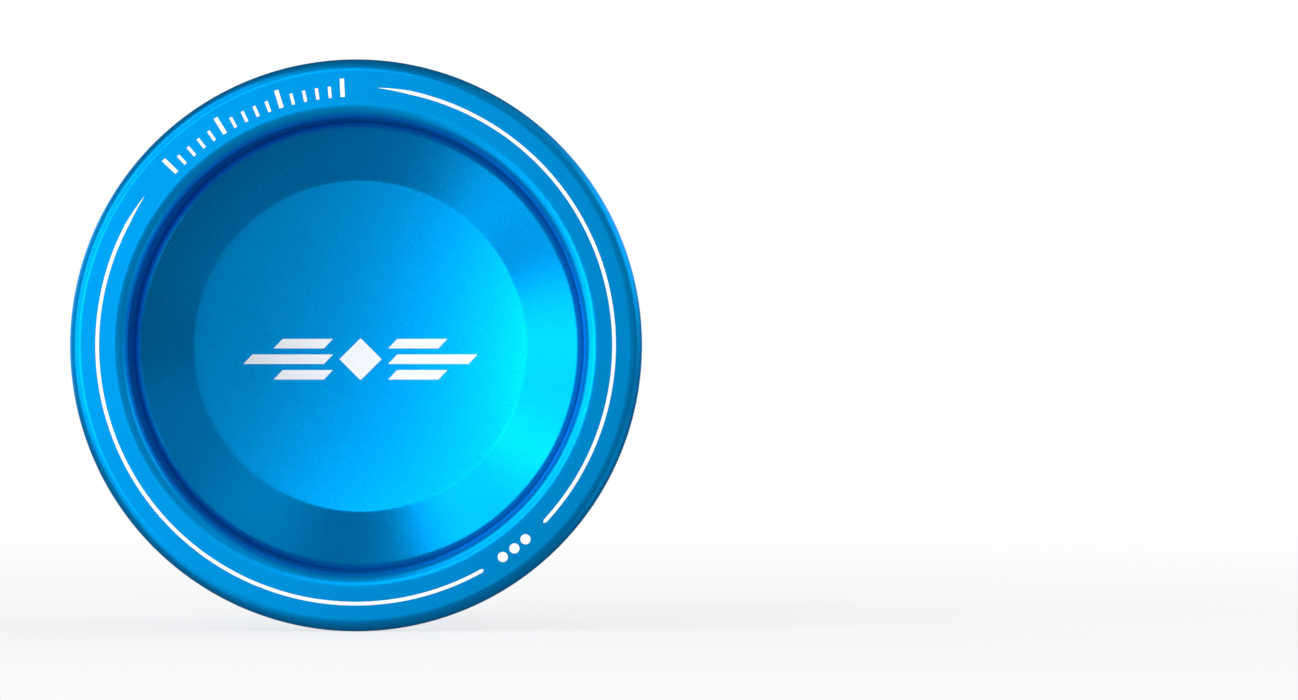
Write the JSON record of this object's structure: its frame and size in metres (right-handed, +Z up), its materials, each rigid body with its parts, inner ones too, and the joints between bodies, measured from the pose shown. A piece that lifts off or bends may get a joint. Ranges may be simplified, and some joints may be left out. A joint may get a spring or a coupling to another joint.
{
  "type": "yo-yo",
  "caption": "Wide butterfly yo-yo with two turned metal halves screwed onto a threaded axle around a grooved ball bearing, with cupped faces and stepped rims.",
  "frame": {"origin": "middle of the axle, halfway between the two halves", "axes": "+Y along the spin axis, from the front half towards the back half; +Z up, across the spin axis"},
  "size_m": [0.056, 0.0416, 0.056],
  "materials": {
    "anodised_aluminium": "fine blasted, blue anodised, satin",
    "bearing_steel": "ground and polished",
    "spring_steel": "stamped, slightly dull",
    "screw_steel": "black oxide",
    "silicone": "matt, slightly translucent white"
  },
  "bodies": {
    "bearing_outer": {"outer_race": "bearing_steel", "front_shield": "spring_steel", "back_shield": "spring_steel", "front_snap_ring": "spring_steel", "back_snap_ring": "spring_steel"},
    "bearing_inner": {"inner_race": "bearing_steel"},
    "front_side": {"front_half": "anodised_aluminium", "axle": "screw_steel", "front_response_pad": "silicone"},
    "back_side": {"back_half": "anodised_aluminium", "back_response_pad": "silicone"},
    "cage": {"ball_cage": "spring_steel"},
    "ball_01": {"ball_01": "bearing_steel"},
    "ball_02": {"ball_02": "bearing_steel"},
    "ball_03": {"ball_03": "bearing_steel"},
    "ball_04": {"ball_04": "bearing_steel"},
    "ball_05": {"ball_05": "bearing_steel"},
    "ball_06": {"ball_06": "bearing_steel"},
    "ball_07": {"ball_07": "bearing_steel"},
    "ball_08": {"ball_08": "bearing_steel"},
    "ball_09": {"ball_09": "bearing_steel"},
    "ball_10": {"ball_10": "bearing_steel"}
  },
  "joints": [
    {"name": "spin", "type": "hinge", "parent": "bearing_outer", "child": "bearing_inner", "pos_m": [0, 0, 0], "axis": [0, 1, 0], "continuous": true},
    {"name": "unscrew", "type": "hinge", "parent": "bearing_inner", "child": "front_side", "pos_m": [0, 0, 0], "axis": [0, -1, 0], "range_deg": [0, 2790]},
    {"name": "unscrew_travel", "type": "slide", "parent": "bearing_inner", "child": "back_side", "axis": [0, 1, 0], "range_m": [0, 0.00543]},
    {"name": "cage_orbit", "type": "hinge", "parent": "bearing_outer", "child": "cage", "pos_m": [0, 0, 0], "axis": [0, 1, 0], "continuous": true},
    {"name": "ball_01_roll", "type": "hinge", "parent": "cage", "child": "ball_01", "pos_m": [0.00476, 0, 0], "axis": [0, 1, 0], "continuous": true},
    {"name": "ball_02_roll", "type": "hinge", "parent": "cage", "child": "ball_02", "pos_m": [0.00385, 0, -0.0028], "axis": [0, 1, 0], "continuous": true},
    {"name": "ball_03_roll", "type": "hinge", "parent": "cage", "child": "ball_03", "pos_m": [0.00147, 0, -0.00453], "axis": [0, 1, 0], "continuous": true},
    {"name": "ball_04_roll", "type": "hinge", "parent": "cage", "child": "ball_04", "pos_m": [-0.00147, 0, -0.00453], "axis": [0, 1, 0], "continuous": true},
    {"name": "ball_05_roll", "type": "hinge", "parent": "cage", "child": "ball_05", "pos_m": [-0.00385, 0, -0.0028], "axis": [0, 1, 0], "continuous": true},
    {"name": "ball_06_roll", "type": "hinge", "parent": "cage", "child": "ball_06", "pos_m": [-0.00476, 0, 0], "axis": [0, 1, 0], "continuous": true},
    {"name": "ball_07_roll", "type": "hinge", "parent": "cage", "child": "ball_07", "pos_m": [-0.00385, 0, 0.0028], "axis": [0, 1, 0], "continuous": true},
    {"name": "ball_08_roll", "type": "hinge", "parent": "cage", "child": "ball_08", "pos_m": [-0.00147, 0, 0.00453], "axis": [0, 1, 0], "continuous": true},
    {"name": "ball_09_roll", "type": "hinge", "parent": "cage", "child": "ball_09", "pos_m": [0.00147, 0, 0.00453], "axis": [0, 1, 0], "continuous": true},
    {"name": "ball_10_roll", "type": "hinge", "parent": "cage", "child": "ball_10", "pos_m": [0.00385, 0, 0.0028], "axis": [0, 1, 0], "continuous": true}
  ],
  "couplings": [
    {"joint": "unscrew_travel", "follows": "unscrew", "m_per_rad": 0.00011141},
    {"joint": "cage_orbit", "follows": "spin", "ratio": 0.41667},
    {"joint": "ball_01_roll", "follows": "spin", "ratio": -2.9167},
    {"joint": "ball_02_roll", "follows": "spin", "ratio": -2.9167},
    {"joint": "ball_03_roll", "follows": "spin", "ratio": -2.9167},
    {"joint": "ball_04_roll", "follows": "spin", "ratio": -2.9167},
    {"joint": "ball_05_roll", "follows": "spin", "ratio": -2.9167},
    {"joint": "ball_06_roll", "follows": "spin", "ratio": -2.9167},
    {"joint": "ball_07_roll", "follows": "spin", "ratio": -2.9167},
    {"joint": "ball_08_roll", "follows": "spin", "ratio": -2.9167},
    {"joint": "ball_09_roll", "follows": "spin", "ratio": -2.9167},
    {"joint": "ball_10_roll", "follows": "spin", "ratio": -2.9167}
  ]
}
